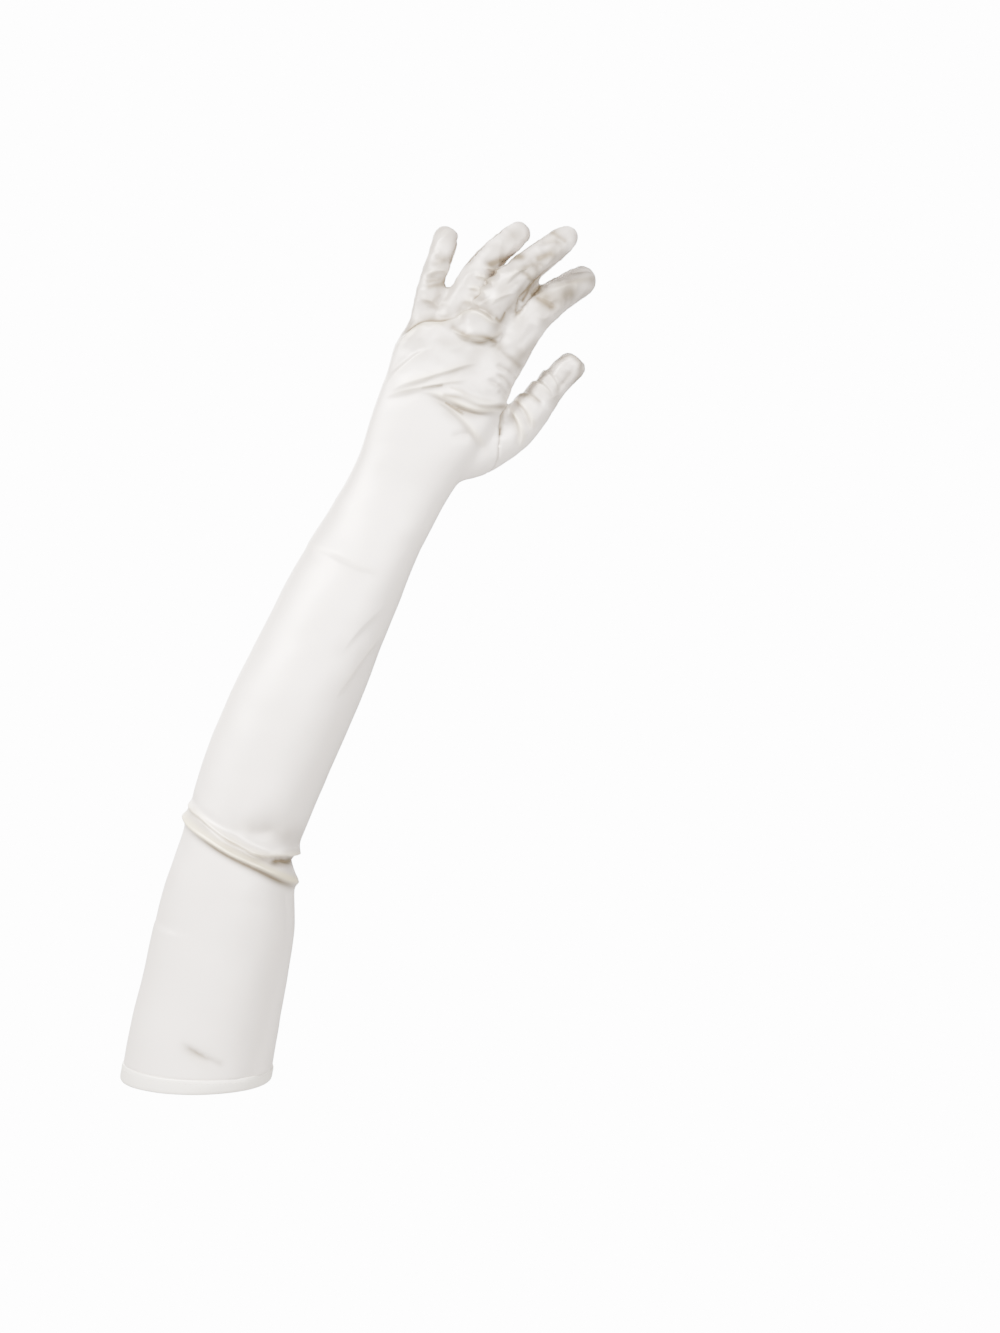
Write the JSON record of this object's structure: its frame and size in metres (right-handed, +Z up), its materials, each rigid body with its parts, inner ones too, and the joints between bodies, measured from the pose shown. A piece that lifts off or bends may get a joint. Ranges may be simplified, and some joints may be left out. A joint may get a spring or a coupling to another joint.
{
  "type": "satin opera glove",
  "caption": "Long ivory satin evening glove for a left hand, shown as worn, with a raised elbow fold, set-in thumb, finger side strips and a turned hem.",
  "frame": {"origin": "middle of the arm opening at the hem's lower edge", "axes": "+Z up from the opening towards the fingers, +X towards the thumb side, +Y away from the viewer, towards the palm"},
  "size_m": [0.2867, 0.1036, 0.5198],
  "materials": {
    "main_panel": "satin weave, soft sheen",
    "thumb": "satin weave, soft sheen",
    "fourchette_index_middle": "satin weave, soft sheen",
    "fourchette_middle_ring": "satin weave, soft sheen",
    "fourchette_ring_little": "satin weave, soft sheen",
    "hem": "satin weave, soft sheen"
  },
  "bodies": {
    "root": {"main_panel": "main_panel", "thumb": "thumb", "fourchette_index_middle": "fourchette_index_middle", "fourchette_middle_ring": "fourchette_middle_ring", "fourchette_ring_little": "fourchette_ring_little", "hem": "hem"}
  },
  "joints": []
}
